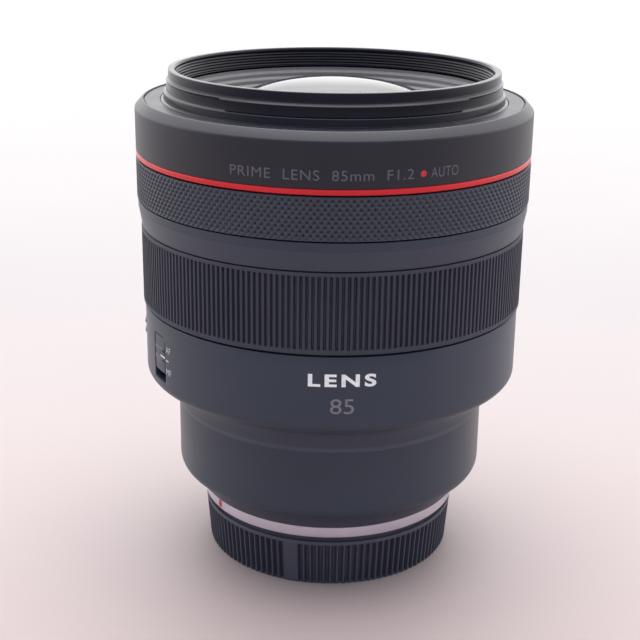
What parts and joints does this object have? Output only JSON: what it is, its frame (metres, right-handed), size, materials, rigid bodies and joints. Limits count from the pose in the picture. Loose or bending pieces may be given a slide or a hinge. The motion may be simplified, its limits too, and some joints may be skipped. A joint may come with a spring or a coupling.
{
  "type": "prime camera lens",
  "caption": "Large-aperture prime camera lens on its rear cap: filter thread, knurled control ring, ribbed focus ring, selector switches and bayonet mount.",
  "frame": {"origin": "centre of the underside of the rear cap, on the surface the lens stands on", "axes": "+Z along the optical axis towards the front element; -Y is the side that carries the focal length; +X to the right of it"},
  "size_m": [0.1032, 0.1032, 0.1318],
  "materials": {
    "satin_black_shell": "satin dark charcoal paint with a very fine grain",
    "red_trim": "smooth red enamel",
    "grip_rubber": "matt ribbed rubber",
    "moulded_black_plastic": "fine moulded texture",
    "mount_metal": "turned, satin plated metal",
    "inner_alloy": "matt black anodised",
    "blackened_steel": "matt black coated spring steel",
    "brass_parts": "turned brass",
    "board_green": "green solder mask",
    "optical_glass": "polished and coated"
  },
  "bodies": {
    "barrel": {"filter_ring": "satin_black_shell", "front_baffle": "moulded_black_plastic", "front_collar": "satin_black_shell", "red_ring": "red_trim", "mid_barrel": "satin_black_shell", "main_barrel": "satin_black_shell", "switch_panel": "board_green", "rear_barrel": "satin_black_shell", "lens_mount": "mount_metal", "mount_screw_1": "mount_metal", "mount_screw_2": "mount_metal", "mount_screw_3": "mount_metal", "mount_screw_4": "mount_metal", "contact_block": "moulded_black_plastic", "circuit_board": "board_green", "guide_tube": "inner_alloy", "motor_stator": "brass_parts", "iris_base": "inner_alloy", "iris_cover": "inner_alloy", "aperture_motor": "inner_alloy", "front_cell": "inner_alloy", "rear_cell": "inner_alloy", "glass_element_1": "optical_glass", "glass_element_2": "optical_glass", "glass_element_3": "optical_glass", "glass_element_4": "optical_glass", "glass_element_5": "optical_glass", "glass_element_9": "optical_glass", "glass_element_10": "optical_glass", "glass_element_11": "optical_glass", "glass_element_12": "optical_glass", "glass_element_13": "optical_glass"},
    "control_ring": {"control_ring": "satin_black_shell"},
    "focus_ring": {"focus_ring": "inner_alloy", "focus_grip": "grip_rubber"},
    "focus_mode_switch": {"focus_mode_switch": "moulded_black_plastic"},
    "focus_limiter_switch": {"focus_limiter_switch": "moulded_black_plastic"},
    "focus_cam": {"cam_ring": "inner_alloy", "motor_rotor": "mount_metal"},
    "focus_group": {"focus_cell": "inner_alloy", "cam_roller_1": "brass_parts", "cam_roller_2": "brass_parts", "cam_roller_3": "brass_parts", "glass_element_6": "optical_glass", "glass_element_7": "optical_glass", "glass_element_8": "optical_glass"},
    "iris_drive": {"iris_drive_ring": "brass_parts"},
    "iris_blade_1": {"iris_blade_1": "blackened_steel"},
    "iris_blade_2": {"iris_blade_2": "blackened_steel"},
    "iris_blade_3": {"iris_blade_3": "blackened_steel"},
    "iris_blade_4": {"iris_blade_4": "blackened_steel"},
    "iris_blade_5": {"iris_blade_5": "blackened_steel"},
    "iris_blade_6": {"iris_blade_6": "blackened_steel"},
    "iris_blade_7": {"iris_blade_7": "blackened_steel"},
    "iris_blade_8": {"iris_blade_8": "blackened_steel"},
    "iris_blade_9": {"iris_blade_9": "blackened_steel"},
    "rear_cap": {"rear_cap": "moulded_black_plastic"}
  },
  "joints": [
    {"name": "control_ring_turn", "type": "hinge", "parent": "barrel", "child": "control_ring", "pos_m": [0, 0, 0.1045], "axis": [0, 0, 1], "continuous": true},
    {"name": "focus_ring_turn", "type": "hinge", "parent": "barrel", "child": "focus_ring", "pos_m": [0, 0, 0.0813], "axis": [0, 0, 1], "continuous": true},
    {"name": "focus_mode_slide", "type": "slide", "parent": "barrel", "child": "focus_mode_switch", "axis": [0, 0, -1], "range_m": [0, 0.0022]},
    {"name": "focus_limiter_slide", "type": "slide", "parent": "barrel", "child": "focus_limiter_switch", "axis": [0, 0, -1], "range_m": [0, 0.0048]},
    {"name": "focus_cam_turn", "type": "hinge", "parent": "barrel", "child": "focus_cam", "pos_m": [0, 0, 0.058], "axis": [0, 0, 1], "range_deg": [0, 70]},
    {"name": "focus_group_slide", "type": "slide", "parent": "barrel", "child": "focus_group", "axis": [0, 0, 1], "range_m": [0, 0.007]},
    {"name": "iris_drive_turn", "type": "hinge", "parent": "barrel", "child": "iris_drive", "pos_m": [0, 0, 0.0803], "axis": [0, 0, 1], "range_deg": [0, 24.8]},
    {"name": "iris_blade_1_swing", "type": "hinge", "parent": "barrel", "child": "iris_blade_1", "pos_m": [0.036, 0, 0.0755], "axis": [0, 0, 1], "range_deg": [0, 31]},
    {"name": "iris_blade_2_swing", "type": "hinge", "parent": "barrel", "child": "iris_blade_2", "pos_m": [0.02758, 0.02314, 0.0755], "axis": [0, 0, 1], "range_deg": [0, 31]},
    {"name": "iris_blade_3_swing", "type": "hinge", "parent": "barrel", "child": "iris_blade_3", "pos_m": [0.00625, 0.03545, 0.0755], "axis": [0, 0, 1], "range_deg": [0, 31]},
    {"name": "iris_blade_4_swing", "type": "hinge", "parent": "barrel", "child": "iris_blade_4", "pos_m": [-0.018, 0.03118, 0.0755], "axis": [0, 0, 1], "range_deg": [0, 31]},
    {"name": "iris_blade_5_swing", "type": "hinge", "parent": "barrel", "child": "iris_blade_5", "pos_m": [-0.03383, 0.01231, 0.0755], "axis": [0, 0, 1], "range_deg": [0, 31]},
    {"name": "iris_blade_6_swing", "type": "hinge", "parent": "barrel", "child": "iris_blade_6", "pos_m": [-0.03383, -0.01231, 0.0755], "axis": [0, 0, 1], "range_deg": [0, 31]},
    {"name": "iris_blade_7_swing", "type": "hinge", "parent": "barrel", "child": "iris_blade_7", "pos_m": [-0.018, -0.03118, 0.0755], "axis": [0, 0, 1], "range_deg": [0, 31]},
    {"name": "iris_blade_8_swing", "type": "hinge", "parent": "barrel", "child": "iris_blade_8", "pos_m": [0.00625, -0.03545, 0.0755], "axis": [0, 0, 1], "range_deg": [0, 31]},
    {"name": "iris_blade_9_swing", "type": "hinge", "parent": "barrel", "child": "iris_blade_9", "pos_m": [0.02758, -0.02314, 0.0755], "axis": [0, 0, 1], "range_deg": [0, 31]},
    {"name": "rear_cap_pull", "type": "slide", "parent": "barrel", "child": "rear_cap", "axis": [0, 0, -1], "range_m": [0, 0.025]}
  ],
  "couplings": [
    {"joint": "focus_group_slide", "follows": "focus_cam_turn", "m_per_rad": 0.0057296},
    {"joint": "iris_blade_1_swing", "follows": "iris_drive_turn", "ratio": 1.25},
    {"joint": "iris_blade_2_swing", "follows": "iris_drive_turn", "ratio": 1.25},
    {"joint": "iris_blade_3_swing", "follows": "iris_drive_turn", "ratio": 1.25},
    {"joint": "iris_blade_4_swing", "follows": "iris_drive_turn", "ratio": 1.25},
    {"joint": "iris_blade_5_swing", "follows": "iris_drive_turn", "ratio": 1.25},
    {"joint": "iris_blade_6_swing", "follows": "iris_drive_turn", "ratio": 1.25},
    {"joint": "iris_blade_7_swing", "follows": "iris_drive_turn", "ratio": 1.25},
    {"joint": "iris_blade_8_swing", "follows": "iris_drive_turn", "ratio": 1.25},
    {"joint": "iris_blade_9_swing", "follows": "iris_drive_turn", "ratio": 1.25}
  ]
}
